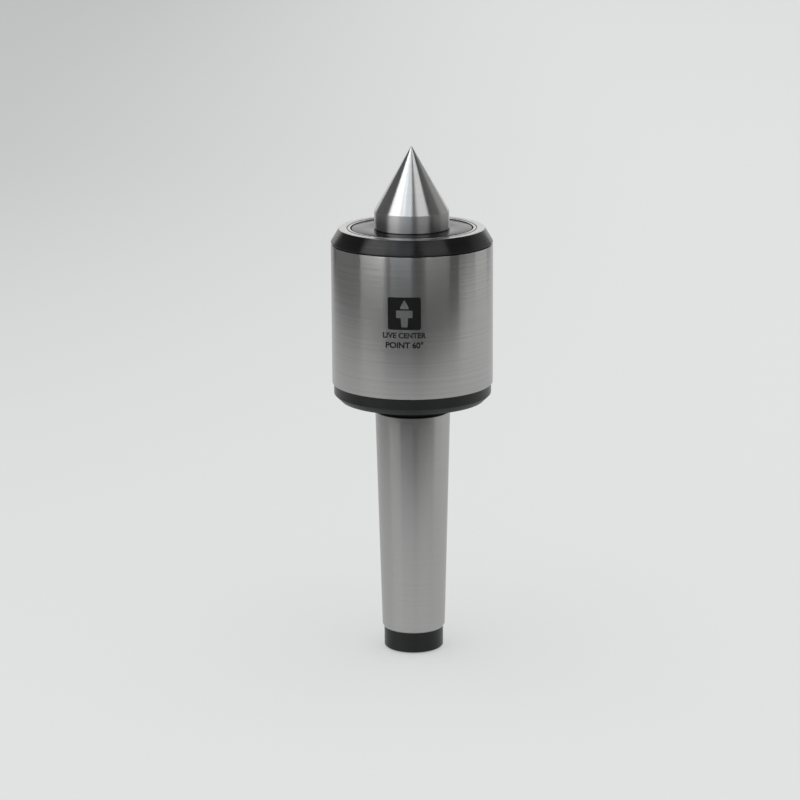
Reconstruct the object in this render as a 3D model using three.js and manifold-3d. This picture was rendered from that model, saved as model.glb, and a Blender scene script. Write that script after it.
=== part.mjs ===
// Live center for a lathe tailstock: a Morse taper 4 shank and bearing housing turned from one bar,
// with a 60 degree point that spins on two angular contact bearings, a thrust bearing and a needle bearing.
// Millimetres, +Z up. The part stands on the small end of its shank: the origin is the middle of that end
// face and the axis of every turned piece is Z.
import * as THREE from "three";
import { mergeVertices } from "three/addons/utils/BufferGeometryUtils.js";
import Module from "manifold-3d";

const wasm = await Module();
wasm.setup();

// Morse taper 4: diameter at the gauge plane, taper on diameter, and gauge plane to the large end
const GAUGE_DIAMETER = 31.267;
const TAPER = 1 / 19.254;
const GAUGE_TO_SHOULDER = 6.5;

// Outside of the housing, from the floor up
const BODY_RADIUS = 33.75;
const TANG_RADIUS = 12.6;
const TANG_TOP = 8.9;
const TANG_BEVEL = 0.5;
const TAPER_START = TANG_TOP + 1.1;
const TAPER_LEAD_IN = 0.6;
const SHOULDER = 104.1;
const SHOULDER_BEVEL = 0.3;
const NECK_RADIUS = 14.6;
const REAR_FACE = 109.1;
const REAR_CHAMFER = 2.75;
const REAR_BAND_RADIUS = 33.05;
const SLEEVE_BOTTOM = 116.3;
const SLEEVE_TOP = 175.5;
const SLEEVE_BEVEL = 0.45;

// Centre hole in the end of the shank
const CENTRE_HOLE_RADIUS = 6;
const PILOT_RADIUS = 2.5;
const PILOT_DEPTH = 14;
const PILOT_TIP = 1.4;
const COUNTERSINK_HALF_ANGLE = THREE.MathUtils.degToRad(30);

// Cap, slinger and point
const CAP_CORNER = 176.25;
const CAP_TOP = 181.95;
const CAP_SEAM_BEVEL = 0.35;
const CAP_FACE_RADIUS = 30.35;
const CAP_GROOVE = { inner: 26.7, outer: 27.15, depth: 0.4 };
const CAP_MOUTH_RADIUS = 25.6;
const CAP_LIP_RADIUS = 18.2;
const SPIGOT_RADIUS = 28.8;
const SLINGER_RADIUS = 25.05;
const SLINGER_TOP = 181.8;
const SLINGER_THICKNESS = 3;
const SLINGER_BEVEL = 0.3;
const MOUTH_FLOOR = SLINGER_TOP - SLINGER_THICKNESS - 0.5;
const POINT_RADIUS = 15.6;
const POINT_SHOULDER = 189.2;
const POINT_HALF_ANGLE = THREE.MathUtils.degToRad(30);
const COLLAR_RADIUS = 14.5;
const TIP = POINT_SHOULDER + POINT_RADIUS / Math.tan(POINT_HALF_ANGLE);

// Play between neighbours: face to face, shaft to bore, and each side of a bearing or spacer
const FACE_GAP = 0.3;
const FIT_GAP = 0.15;
const SIDE_GAP = 0.1;

// Angular contact bearing 25 x 52 x 15, used twice with a spacer pair between
const FRONT_BORE_RADIUS = 12.5;
const FRONT_OUTER_RADIUS = 26;
const FRONT_WIDTH = 15;
const FRONT_PITCH_RADIUS = 19.25;
const FRONT_BALL_RADIUS = 3.8;
const FRONT_GROOVE_RADIUS = 4.2;
const FRONT_INNER_SHOULDER = 16.4;
const FRONT_OUTER_SHOULDER = 22.1;
const FRONT_ARC = 46;
const FRONT_CAGE = { inner: 18.1, outer: 20.2, halfWidth: 5.2, pocket: 4.25 };
const SPACER_WIDTH = 4;
const COLLAR_BOTTOM = 168;
const FRONT_MIDDLE = COLLAR_BOTTOM - FRONT_WIDTH / 2;
const REAR_MIDDLE = FRONT_MIDDLE - FRONT_WIDTH - SPACER_WIDTH;
const BEARING_SEAT = REAR_MIDDLE - FRONT_WIDTH / 2;
const OUTER_SPACER_BORE = 22.5;
const INNER_SPACER_RADIUS = 15.8;

// Thrust ball bearing 20 x 35 x 10
const THRUST_SEAT = 116;
const THRUST_HEIGHT = 10;
const THRUST_MIDDLE = THRUST_SEAT + THRUST_HEIGHT / 2;
const THRUST_SHAFT_RADIUS = 10;
const THRUST_OUTER_RADIUS = 17.5;
const THRUST_PITCH_RADIUS = 13.75;
const THRUST_BALL_RADIUS = 3;
const THRUST_GROOVE_RADIUS = 3.3;
const THRUST_WASHER_INNER_FACE = 2;
const THRUST_ARC = 52;
const THRUST_BORE_TOP = THRUST_SEAT + 4;
const THRUST_SHAFT_BOTTOM = THRUST_SEAT + 1.5;
const THRUST_SHAFT_TOP = THRUST_SEAT + THRUST_HEIGHT + 0.2;
const THRUST_CAGE = { inner: 10.4, outer: 17, halfWidth: 0.7, pocket: 3.3 };

// Drawn cup needle bearing 15 x 21 x 16
const NEEDLE_JOURNAL_RADIUS = 7.4;
const NEEDLE_OUTER_RADIUS = 10.5;
const NEEDLE_PITCH_RADIUS = 8.5;
const NEEDLE_RADIUS = 0.95;
const NEEDLE_BOTTOM = 98.5;
const NEEDLE_TOP = NEEDLE_BOTTOM + 16;
const NEEDLE_CUP = { lip: 8, inside: 9.6, wall: 0.7 };
const NEEDLE_CAGE = { inner: 7.9, outer: 9.2, setBack: 1.1, ringWidth: 1.5 };
const NEEDLE_SET_BACK = 2;
const SPINDLE_BOTTOM = 98.3;
const SPINDLE_BEVEL = 0.8;
const NEEDLE_BORE_BOTTOM = SPINDLE_BOTTOM - 1.3;
const NEEDLE_BORE_TIP = SPINDLE_BOTTOM - 6;

const BALLS = 12;
const NEEDLES = 14;
const LARGE = 64; // sides of the housing, cap, slinger and point
const SMALL = 32; // sides of the bearing, seal and nut pieces
const BALL_SIDES = 8;
const BALL_BANDS = 6;
const HOLE_SIDES = 8;
const NEEDLE_SIDES = 6;

// Seals in and under the cap
const SPIGOT_BOTTOM = COLLAR_BOTTOM + 1.8;
const O_RING = { radius: 28.2, thickness: 0.6, height: 173.95 };
const O_RING_SEAT = { radius: 27.5, bottom: 173, top: 174.9 };
const SEAL = { radius: 20.4, mouth: 16.6, bottom: 171, top: 177.5, wall: 1 };
const LIP = { nose: 172.4, back: 172.7, edge: 173.4, waist: 173.9, flange: 175, play: 0.2 };
const GARTER = { radius: COLLAR_RADIUS + 2.1, height: LIP.waist, thickness: 0.45 };
const WAVE_WASHER = { inner: 22.8, outer: 25.6, bottom: 168.75, thickness: 0.3, rise: 0.45, waves: 4 };

const CHAMBER_RADIUS = 20;
const THREAD_BORE_RADIUS = 29.1;
const THREAD_BORE_BOTTOM = 168.5;
const NUT_RADIUS = 19;
const NUT_TOP = BEARING_SEAT - 1.5;
const NUT_BOTTOM = THRUST_SEAT + THRUST_HEIGHT + 0.4;
const NUT_SLOTS = { count: 4, width: 5, depth: 2 };
const TAB_WASHER = { radius: 18.6, bottom: NUT_TOP + 0.2, thickness: 1 };
const NOTCHES = { count: 8, width: 4, depth: 1.1 };

const finish = (color, roughness, metalness) =>
  new THREE.MeshStandardMaterial({ color, roughness, metalness });

const GROUND_STEEL = finish(0x9a9b98, 0.32, 1);
const POINT_STEEL = finish(0xb4b4b2, 0.22, 1);
const BLACKED_STEEL = finish(0x26272a, 0.42, 0.9);
const BEARING_STEEL = finish(0xa9abad, 0.18, 1);
const CAGE_BRASS = finish(0xb08a45, 0.35, 1);
const SPRING_STEEL = finish(0x8b8d90, 0.35, 1);
const SEAL_RUBBER = finish(0x1a1a1a, 0.75, 0);

// Points of an arc in the r, z plane, angles in degrees from +r towards +z
function arc(r, z, radius, from, to, steps) {
  return Array.from({ length: steps + 1 }, (_, i) => {
    const angle = THREE.MathUtils.degToRad(from + ((to - from) * i) / steps);
    return [r + radius * Math.cos(angle), z + radius * Math.sin(angle)];
  });
}

// Turns an outline of [r, z] points about Z: listed up the outside, and closed on itself unless on the axis
function turned(outline, sides) {
  const points = outline.map(([r, z]) => new THREE.Vector2(r, z));
  if (outline[0][0] > 0) points.push(points[0].clone());
  return new THREE.LatheGeometry(points, sides).rotateX(Math.PI / 2);
}

function ring(inner, outer, bottom, top, sides) {
  return turned([[inner, bottom], [outer, bottom], [outer, top], [inner, top]], sides);
}

// A straight bar along Z
function bar(radius, bottom, top, sides) {
  return new THREE.CylinderGeometry(radius, radius, top - bottom, sides)
    .rotateX(Math.PI / 2)
    .translate(0, 0, (top + bottom) / 2);
}

function solid(geometry) {
  const bare = geometry.clone();
  bare.deleteAttribute("normal");
  bare.deleteAttribute("uv");
  const merged = mergeVertices(bare, 1e-4);
  return new wasm.Manifold(
    new wasm.Mesh({
      numProp: 3,
      vertProperties: merged.attributes.position.array,
      triVerts: new Uint32Array(merged.index.array),
    }),
  );
}

function surface(made) {
  const mesh = made.getMesh();
  return new THREE.BufferGeometry()
    .setAttribute("position", new THREE.BufferAttribute(mesh.vertProperties, 3))
    .setIndex(new THREE.BufferAttribute(mesh.triVerts, 1));
}

const cut = (geometry, tools) =>
  surface(tools.reduce((body, tool) => body.subtract(solid(tool)), solid(geometry)));

const join = (geometries) =>
  surface(geometries.map(solid).reduce((body, next) => body.add(next)));

// The same shape at each of count places round Z
function around(count, shape) {
  return Array.from({ length: count }, (_, i) => shape().rotateZ((i / count) * 2 * Math.PI));
}

const taperRadius = (z) =>
  GAUGE_DIAMETER / 2 + ((z - (SHOULDER - GAUGE_TO_SHOULDER)) * TAPER) / 2;

// ---- housing: shank, neck and bored head in one piece

function housingGeometry() {
  const countersinkDepth =
    (CENTRE_HOLE_RADIUS - PILOT_RADIUS) / Math.tan(COUNTERSINK_HALF_ANGLE);
  const centreHole = [
    [0, PILOT_DEPTH + PILOT_TIP],
    [PILOT_RADIUS, PILOT_DEPTH],
    [PILOT_RADIUS, countersinkDepth],
    [CENTRE_HOLE_RADIUS, 0],
  ];
  const shank = [
    [TANG_RADIUS - TANG_BEVEL, 0],
    [TANG_RADIUS, TANG_BEVEL],
    [TANG_RADIUS, TANG_TOP],
    [taperRadius(TAPER_START) - TAPER_LEAD_IN, TANG_TOP],
    [taperRadius(TAPER_START), TAPER_START],
    [taperRadius(SHOULDER), SHOULDER - SHOULDER_BEVEL],
    [taperRadius(SHOULDER) - SHOULDER_BEVEL, SHOULDER],
    [NECK_RADIUS, SHOULDER],
    [NECK_RADIUS, REAR_FACE],
  ];
  const head = [
    [REAR_BAND_RADIUS - REAR_CHAMFER, REAR_FACE],
    [REAR_BAND_RADIUS, REAR_FACE + REAR_CHAMFER],
    [REAR_BAND_RADIUS, SLEEVE_BOTTOM],
    [BODY_RADIUS, SLEEVE_BOTTOM],
    [BODY_RADIUS, SLEEVE_TOP - SLEEVE_BEVEL],
    [BODY_RADIUS - SLEEVE_BEVEL, SLEEVE_TOP],
  ];
  const bore = [
    [THREAD_BORE_RADIUS, SLEEVE_TOP],
    [THREAD_BORE_RADIUS, THREAD_BORE_BOTTOM],
    [FRONT_OUTER_RADIUS, THREAD_BORE_BOTTOM],
    [FRONT_OUTER_RADIUS, BEARING_SEAT],
    [CHAMBER_RADIUS, BEARING_SEAT],
    [CHAMBER_RADIUS, THRUST_BORE_TOP],
    [THRUST_OUTER_RADIUS + FIT_GAP, THRUST_BORE_TOP],
    [THRUST_OUTER_RADIUS + FIT_GAP, THRUST_SEAT],
    [NEEDLE_OUTER_RADIUS, THRUST_SEAT],
    [NEEDLE_OUTER_RADIUS, NEEDLE_BORE_BOTTOM],
    [0, NEEDLE_BORE_TIP],
  ];
  return turned([...centreHole, ...shank, ...head, ...bore], LARGE);
}

// ---- front cap: screws into the housing, holds the seal and clamps the outer rings

function capGeometry() {
  const flangeBottom = SLEEVE_TOP + FACE_GAP;
  return turned(
    [
      [CAP_LIP_RADIUS, SPIGOT_BOTTOM],
      [SPIGOT_RADIUS, SPIGOT_BOTTOM],
      [SPIGOT_RADIUS, O_RING_SEAT.bottom],
      [O_RING_SEAT.radius, O_RING_SEAT.bottom],
      [O_RING_SEAT.radius, O_RING_SEAT.top],
      [SPIGOT_RADIUS, O_RING_SEAT.top],
      [SPIGOT_RADIUS, flangeBottom],
      [BODY_RADIUS - CAP_SEAM_BEVEL, flangeBottom],
      [BODY_RADIUS, CAP_CORNER],
      [CAP_FACE_RADIUS, CAP_TOP],
      [CAP_GROOVE.outer, CAP_TOP],
      [CAP_GROOVE.outer, CAP_TOP - CAP_GROOVE.depth],
      [CAP_GROOVE.inner, CAP_TOP - CAP_GROOVE.depth],
      [CAP_GROOVE.inner, CAP_TOP],
      [CAP_MOUTH_RADIUS, CAP_TOP],
      [CAP_MOUTH_RADIUS, MOUTH_FLOOR],
      [SEAL.radius + FIT_GAP, MOUTH_FLOOR],
      [SEAL.radius + FIT_GAP, SEAL.bottom - FIT_GAP],
      [CAP_LIP_RADIUS, SEAL.bottom - FIT_GAP],
    ],
    LARGE,
  );
}

const capSealGeometry = () =>
  turned(arc(O_RING.radius, O_RING.height, O_RING.thickness, 0, 270, 3), LARGE);

// ---- slinger: the disc that turns with the point and throws coolant off the seal

const slingerGeometry = () =>
  turned(
    [
      [COLLAR_RADIUS + FIT_GAP, SLINGER_TOP - SLINGER_THICKNESS],
      [SLINGER_RADIUS, SLINGER_TOP - SLINGER_THICKNESS],
      [SLINGER_RADIUS, SLINGER_TOP - SLINGER_BEVEL],
      [SLINGER_RADIUS - SLINGER_BEVEL, SLINGER_TOP],
      [COLLAR_RADIUS + FIT_GAP, SLINGER_TOP],
    ],
    LARGE,
  );

// ---- spindle: 60 degree point and the shaft behind it

const spindleGeometry = () =>
  turned(
    [
      [0, SPINDLE_BOTTOM],
      [NEEDLE_JOURNAL_RADIUS - SPINDLE_BEVEL, SPINDLE_BOTTOM],
      [NEEDLE_JOURNAL_RADIUS, SPINDLE_BOTTOM + SPINDLE_BEVEL],
      [NEEDLE_JOURNAL_RADIUS, THRUST_SHAFT_BOTTOM],
      [THRUST_SHAFT_RADIUS, THRUST_SHAFT_BOTTOM],
      [THRUST_SHAFT_RADIUS, THRUST_SHAFT_TOP],
      [FRONT_BORE_RADIUS - FIT_GAP, THRUST_SHAFT_TOP],
      [FRONT_BORE_RADIUS - FIT_GAP, COLLAR_BOTTOM + FACE_GAP],
      [COLLAR_RADIUS, COLLAR_BOTTOM + FACE_GAP],
      [COLLAR_RADIUS, SLINGER_TOP + FACE_GAP],
      [POINT_RADIUS, SLINGER_TOP + FACE_GAP],
      [POINT_RADIUS, POINT_SHOULDER],
      [0, TIP],
    ],
    LARGE,
  );

// ---- radial shaft seal in the cap

const sealCaseGeometry = () =>
  turned(
    [
      [SEAL.radius - SEAL.wall, SEAL.bottom],
      [SEAL.radius, SEAL.bottom],
      [SEAL.radius, SEAL.top],
      [SEAL.mouth, SEAL.top],
      [SEAL.mouth, SEAL.top - SEAL.wall],
      [SEAL.radius - SEAL.wall, SEAL.top - SEAL.wall],
    ],
    SMALL,
  );

function sealLipGeometry() {
  const inside = SEAL.radius - SEAL.wall - LIP.play;
  const lid = SEAL.top - SEAL.wall - LIP.play;
  return turned(
    [
      [COLLAR_RADIUS + 0.25, LIP.edge],
      [COLLAR_RADIUS + 1.1, LIP.nose],
      [COLLAR_RADIUS + 1.5, LIP.back],
      [COLLAR_RADIUS + 1.1, LIP.waist],
      [COLLAR_RADIUS + 1.5, LIP.flange],
      [inside, LIP.flange],
      [inside, lid],
      [COLLAR_RADIUS + 0.9, lid],
    ],
    SMALL,
  );
}

const garterSpringGeometry = () =>
  turned(arc(GARTER.radius, GARTER.height, GARTER.thickness, 0, 270, 3), SMALL);

// ---- wave washer between the cap and the outer rings

function waveWasherGeometry() {
  const { inner, outer, bottom, thickness, rise, waves } = WAVE_WASHER;
  const washer = ring(inner, outer, bottom, bottom + thickness, SMALL);
  const place = washer.attributes.position;
  for (let i = 0; i < place.count; i += 1) {
    const angle = Math.atan2(place.getY(i), place.getX(i));
    place.setZ(i, place.getZ(i) + rise * Math.cos(waves * angle));
  }
  return washer;
}

// ---- angular contact bearings

const FRONT_HALF = FRONT_WIDTH / 2 - SIDE_GAP;

const frontInnerRing = (middle) =>
  turned(
    [
      [FRONT_BORE_RADIUS, middle - FRONT_HALF],
      [FRONT_INNER_SHOULDER, middle - FRONT_HALF],
      ...arc(FRONT_PITCH_RADIUS, middle, FRONT_GROOVE_RADIUS, 180 + FRONT_ARC, 180 - FRONT_ARC, 3),
      [FRONT_INNER_SHOULDER, middle + FRONT_HALF],
      [FRONT_BORE_RADIUS, middle + FRONT_HALF],
    ],
    SMALL,
  );

const frontOuterRing = (middle) =>
  turned(
    [
      [FRONT_OUTER_SHOULDER, middle - FRONT_HALF],
      [FRONT_OUTER_RADIUS - FIT_GAP, middle - FRONT_HALF],
      [FRONT_OUTER_RADIUS - FIT_GAP, middle + FRONT_HALF],
      [FRONT_OUTER_SHOULDER, middle + FRONT_HALF],
      ...arc(FRONT_PITCH_RADIUS, middle, FRONT_GROOVE_RADIUS, FRONT_ARC, -FRONT_ARC, 3),
    ],
    SMALL,
  );

function frontCage(middle) {
  const { inner, outer, halfWidth, pocket } = FRONT_CAGE;
  const hole = () =>
    new THREE.CylinderGeometry(pocket, pocket, 2 * FRONT_BALL_RADIUS + 0.4, HOLE_SIDES)
      .rotateZ(Math.PI / 2)
      .translate(FRONT_PITCH_RADIUS, 0, middle);
  return cut(ring(inner, outer, middle - halfWidth, middle + halfWidth, SMALL), around(BALLS, hole));
}

// ---- thrust bearing

const thrustShaftWasher = () =>
  turned(
    [
      [THRUST_SHAFT_RADIUS + FIT_GAP, THRUST_MIDDLE + THRUST_WASHER_INNER_FACE],
      ...arc(
        THRUST_PITCH_RADIUS, THRUST_MIDDLE, THRUST_GROOVE_RADIUS, 90 + THRUST_ARC, 90 - THRUST_ARC, 3),
      [THRUST_OUTER_RADIUS - 2 * SIDE_GAP, THRUST_MIDDLE + THRUST_WASHER_INNER_FACE],
      [THRUST_OUTER_RADIUS - 2 * SIDE_GAP, THRUST_SEAT + THRUST_HEIGHT - SIDE_GAP],
      [THRUST_SHAFT_RADIUS + FIT_GAP, THRUST_SEAT + THRUST_HEIGHT - SIDE_GAP],
    ],
    SMALL,
  );

const thrustHousingWasher = () =>
  turned(
    [
      [THRUST_SHAFT_RADIUS + 4 * FIT_GAP, THRUST_SEAT + SIDE_GAP],
      [THRUST_OUTER_RADIUS - SIDE_GAP, THRUST_SEAT + SIDE_GAP],
      [THRUST_OUTER_RADIUS - SIDE_GAP, THRUST_MIDDLE - THRUST_WASHER_INNER_FACE],
      ...arc(
        THRUST_PITCH_RADIUS, THRUST_MIDDLE, THRUST_GROOVE_RADIUS, THRUST_ARC - 90, -90 - THRUST_ARC, 3),
      [THRUST_SHAFT_RADIUS + 4 * FIT_GAP, THRUST_MIDDLE - THRUST_WASHER_INNER_FACE],
    ],
    SMALL,
  );

function thrustCage() {
  const { inner, outer, halfWidth, pocket } = THRUST_CAGE;
  const hole = () =>
    bar(pocket, THRUST_MIDDLE - 2, THRUST_MIDDLE + 2, HOLE_SIDES).translate(THRUST_PITCH_RADIUS, 0, 0);
  return cut(
    ring(inner, outer, THRUST_MIDDLE - halfWidth, THRUST_MIDDLE + halfWidth, SMALL),
    around(BALLS, hole),
  );
}

// ---- needle bearing

function needleCup() {
  const { lip, inside, wall } = NEEDLE_CUP;
  return turned(
    [
      [lip, NEEDLE_BOTTOM],
      [NEEDLE_OUTER_RADIUS - FIT_GAP, NEEDLE_BOTTOM],
      [NEEDLE_OUTER_RADIUS - FIT_GAP, NEEDLE_TOP],
      [lip, NEEDLE_TOP],
      [lip, NEEDLE_TOP - wall],
      [inside, NEEDLE_TOP - wall],
      [inside, NEEDLE_BOTTOM + wall],
      [lip, NEEDLE_BOTTOM + wall],
    ],
    SMALL,
  );
}

function needleCage() {
  const { inner, outer, setBack, ringWidth } = NEEDLE_CAGE;
  const bottom = NEEDLE_BOTTOM + setBack;
  const top = NEEDLE_TOP - setBack;
  const needle = () =>
    bar(NEEDLE_RADIUS, NEEDLE_BOTTOM + NEEDLE_SET_BACK, NEEDLE_TOP - NEEDLE_SET_BACK, NEEDLE_SIDES)
      .translate(NEEDLE_PITCH_RADIUS, 0, 0);
  return join([
    ring(inner, outer, bottom, bottom + ringWidth, SMALL),
    ring(inner, outer, top - ringWidth, top, SMALL),
    ...around(NEEDLES, needle),
  ]);
}

// ---- nut that clamps the inner rings on the spindle, and its tab washer

// A box that cuts a slot of this width and depth in the rim of a disc
function rimCutter(radius, { width, depth }, bottom, top) {
  const clearance = 1;
  return new THREE.BoxGeometry(2 * depth, width, top - bottom + 2 * clearance)
    .translate(radius, 0, (top + bottom) / 2);
}

function lockNut() {
  const slot = () => rimCutter(NUT_RADIUS, NUT_SLOTS, NUT_BOTTOM, NUT_TOP);
  return cut(
    ring(FRONT_BORE_RADIUS, NUT_RADIUS, NUT_BOTTOM, NUT_TOP, SMALL),
    around(NUT_SLOTS.count, slot),
  );
}

function lockWasher() {
  const { radius, bottom, thickness } = TAB_WASHER;
  const notch = () => rimCutter(radius, NOTCHES, bottom, bottom + thickness);
  return cut(
    ring(FRONT_BORE_RADIUS, radius, bottom, bottom + thickness, SMALL),
    around(NOTCHES.count, notch),
  );
}

// ---- the assembly

function piece(name, geometry, material) {
  const mesh = new THREE.Mesh(geometry, material);
  mesh.name = name;
  return mesh;
}

// Balls of one row, each its own piece
function balls(prefix, radius, pitchRadius, height) {
  return Array.from({ length: BALLS }, (_, i) => {
    const ball = piece(
      `${prefix}_${i + 1}`,
      new THREE.SphereGeometry(radius, BALL_SIDES, BALL_BANDS),
      BEARING_STEEL,
    );
    const angle = (i / BALLS) * 2 * Math.PI;
    ball.position.set(pitchRadius * Math.cos(angle), pitchRadius * Math.sin(angle), height);
    return ball;
  });
}

const spacerMiddle = (FRONT_MIDDLE + REAR_MIDDLE) / 2;
const spacerHalf = SPACER_WIDTH / 2 - SIDE_GAP;

const spacer = (inner, outer) =>
  ring(inner, outer, spacerMiddle - spacerHalf, spacerMiddle + spacerHalf, SMALL);

const stationary = new THREE.Group();
stationary.add(
  piece("shank_housing", housingGeometry(), GROUND_STEEL),
  piece("front_cap", capGeometry(), BLACKED_STEEL),
  piece("cap_o_ring", capSealGeometry(), SEAL_RUBBER),
  piece("shaft_seal_case", sealCaseGeometry(), SPRING_STEEL),
  piece("shaft_seal_lip", sealLipGeometry(), SEAL_RUBBER),
  piece("garter_spring", garterSpringGeometry(), SPRING_STEEL),
  piece("wave_washer", waveWasherGeometry(), SPRING_STEEL),
  piece("front_bearing_outer_ring", frontOuterRing(FRONT_MIDDLE), BEARING_STEEL),
  piece("middle_bearing_outer_ring", frontOuterRing(REAR_MIDDLE), BEARING_STEEL),
  piece("outer_spacer", spacer(OUTER_SPACER_BORE, FRONT_OUTER_RADIUS - FIT_GAP), SPRING_STEEL),
  piece("thrust_housing_washer", thrustHousingWasher(), BEARING_STEEL),
  piece("needle_bearing_cup", needleCup(), BEARING_STEEL),
);

const spinning = new THREE.Group();
spinning.add(
  piece("spindle_point", spindleGeometry(), POINT_STEEL),
  piece("slinger_disc", slingerGeometry(), BLACKED_STEEL),
  piece("front_bearing_inner_ring", frontInnerRing(FRONT_MIDDLE), BEARING_STEEL),
  piece("middle_bearing_inner_ring", frontInnerRing(REAR_MIDDLE), BEARING_STEEL),
  piece("inner_spacer", spacer(FRONT_BORE_RADIUS, INNER_SPACER_RADIUS), SPRING_STEEL),
  piece("lock_washer", lockWasher(), SPRING_STEEL),
  piece("lock_nut", lockNut(), SPRING_STEEL),
  piece("thrust_shaft_washer", thrustShaftWasher(), BEARING_STEEL),
);

const rolling = new THREE.Group();
rolling.add(
  piece("front_bearing_cage", frontCage(FRONT_MIDDLE), CAGE_BRASS),
  ...balls("front_bearing_ball", FRONT_BALL_RADIUS, FRONT_PITCH_RADIUS, FRONT_MIDDLE),
  piece("middle_bearing_cage", frontCage(REAR_MIDDLE), CAGE_BRASS),
  ...balls("middle_bearing_ball", FRONT_BALL_RADIUS, FRONT_PITCH_RADIUS, REAR_MIDDLE),
  piece("thrust_bearing_cage", thrustCage(), CAGE_BRASS),
  ...balls("thrust_bearing_ball", THRUST_BALL_RADIUS, THRUST_PITCH_RADIUS, THRUST_MIDDLE),
  piece("needle_roller_cage", needleCage(), BEARING_STEEL),
);

const liveCenter = new THREE.Group();
liveCenter.add(stationary, spinning, rolling);

export default liveCenter;
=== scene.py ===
"""Live center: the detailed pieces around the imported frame, their finishes, and a plain studio."""

import math

import bpy
from bpy.props import FloatProperty, FloatVectorProperty, IntProperty, PointerProperty, StringProperty
from bpy.types import Operator, Panel, PropertyGroup
from mathutils import Matrix, Vector


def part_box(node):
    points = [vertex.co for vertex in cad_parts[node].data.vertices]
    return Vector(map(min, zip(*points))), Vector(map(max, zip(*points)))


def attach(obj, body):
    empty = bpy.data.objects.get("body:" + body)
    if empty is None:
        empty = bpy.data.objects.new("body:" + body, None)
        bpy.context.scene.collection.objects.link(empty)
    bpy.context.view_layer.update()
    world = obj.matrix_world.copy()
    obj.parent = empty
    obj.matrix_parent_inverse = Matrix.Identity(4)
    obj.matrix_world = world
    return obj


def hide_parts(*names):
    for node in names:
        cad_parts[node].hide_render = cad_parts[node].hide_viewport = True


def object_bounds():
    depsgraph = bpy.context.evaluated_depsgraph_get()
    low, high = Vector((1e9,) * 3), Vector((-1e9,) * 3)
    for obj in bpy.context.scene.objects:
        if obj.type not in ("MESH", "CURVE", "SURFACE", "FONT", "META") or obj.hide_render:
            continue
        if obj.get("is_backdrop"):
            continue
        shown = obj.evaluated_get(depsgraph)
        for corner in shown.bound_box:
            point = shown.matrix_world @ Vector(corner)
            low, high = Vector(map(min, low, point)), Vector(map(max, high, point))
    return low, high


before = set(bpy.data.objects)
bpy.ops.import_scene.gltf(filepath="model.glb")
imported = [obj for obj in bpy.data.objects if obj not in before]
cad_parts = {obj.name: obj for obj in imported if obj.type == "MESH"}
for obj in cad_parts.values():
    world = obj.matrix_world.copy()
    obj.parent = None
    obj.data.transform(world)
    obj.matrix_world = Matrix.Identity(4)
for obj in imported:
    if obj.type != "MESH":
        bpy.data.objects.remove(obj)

bl_info = {
    "name": "Live Center",
    "version": (1, 0, 0),
    "blender": (4, 5, 0),
    "location": "View3D > Sidebar > Live Center",
    "description": "Models a rotating lathe center in turned pieces, with its bearings, finishes and studio",
    "category": "Object",
}

MM = 0.001
FULL_TURN = 2 * math.pi
STEPS = 192  # spin steps of the pieces that show
INNER_STEPS = 128  # spin steps of the pieces inside
BALL_CUTS = 9  # cuts along each edge of the cube that a ball is made from
HOLE_SIDES = 40
RACE_STEPS = 14  # steps of a raceway's arc
POINT_HALF_ANGLE = math.radians(30)
DRILL_HALF_ANGLE = math.radians(59)
CORNER_ANGLE = math.radians(25)  # an outline's turn that gets a broken corner
SMOOTH_ANGLE = math.radians(28)  # edges flatter than this are smoothed over
SOFTENED_ANGLE = math.radians(40)  # edges sharper than this are broken after a cut
TOUCHING = 1e-7  # metres between points that count as one
PLATE_DEPTH = 2 * MM  # depth of a flat shape before it is wrapped
SKIN = 0.05 * MM  # how near a face's middle lies to the surface it belongs to

# Half section of the seal's rubber lip, radius and height in millimetres
LIP_SECTION = (
    (14.75, 173.4),
    (15.6, 172.4),
    (16.0, 172.7),
    (15.6, 173.9),
    (16.0, 175.0),
    (19.2, 175.0),
    (19.2, 176.3),
    (15.4, 176.3),
)

# The picture in the mark, in half widths of its square: a cone, and a body on a tapered shank
PICTURE = (
    ((0, 0.84), (-0.26, 0.39), (-0.26, 0.28), (0.26, 0.28), (0.26, 0.39)),
    (
        (-0.5, 0.2),
        (-0.5, -0.26),
        (-0.23, -0.26),
        (-0.18, -0.84),
        (0.18, -0.84),
        (0.23, -0.26),
        (0.5, -0.26),
        (0.5, 0.2),
    ),
)

# Turned metals: colour, roughness, anisotropy, and pitch and depth of the tool lines in millimetres
METALS = {
    "Ground Steel": ("ground_steel", 0.2, 1, 0.12, 0.00005),
    "Shank Steel": ("ground_steel", 0.2, 1, 0.12, 0.00005),
    "Ground Face": ("ground_steel", 0.22, 0.6, 0.3, 0.0003),
    "Point Steel": ("point_steel", 0.29, 1, 0.12, 0.00005),
    "Land Steel": ("point_steel", 0.42, 1, 0.12, 0.00005),
    "Bored Steel": ("plain_steel", 0.4, 0.6, 0.4, 0.002),
    "Bearing Steel": ("bearing_steel", 0.16, 0.5, 0.2, 0.0001),
    "Ball Steel": ("bearing_steel", 0.06, 0, 0.4, 0.00003),
    "Plain Steel": ("plain_steel", 0.36, 0.6, 0.3, 0.001),
    "Cage Brass": ("cage_brass", 0.3, 0.5, 0.3, 0.001),
}
METAL_TONE = (0.975, 1.02)  # how much darker and lighter the tool lines make the colour
SLEEVE_TONE = (0.955, 1.04)

# Blacked steels: roughness and anisotropy
BLACKS = {"Black Oxide": (0.28, 1), "Black Slinger": (0.18, 0.6)}

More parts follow.
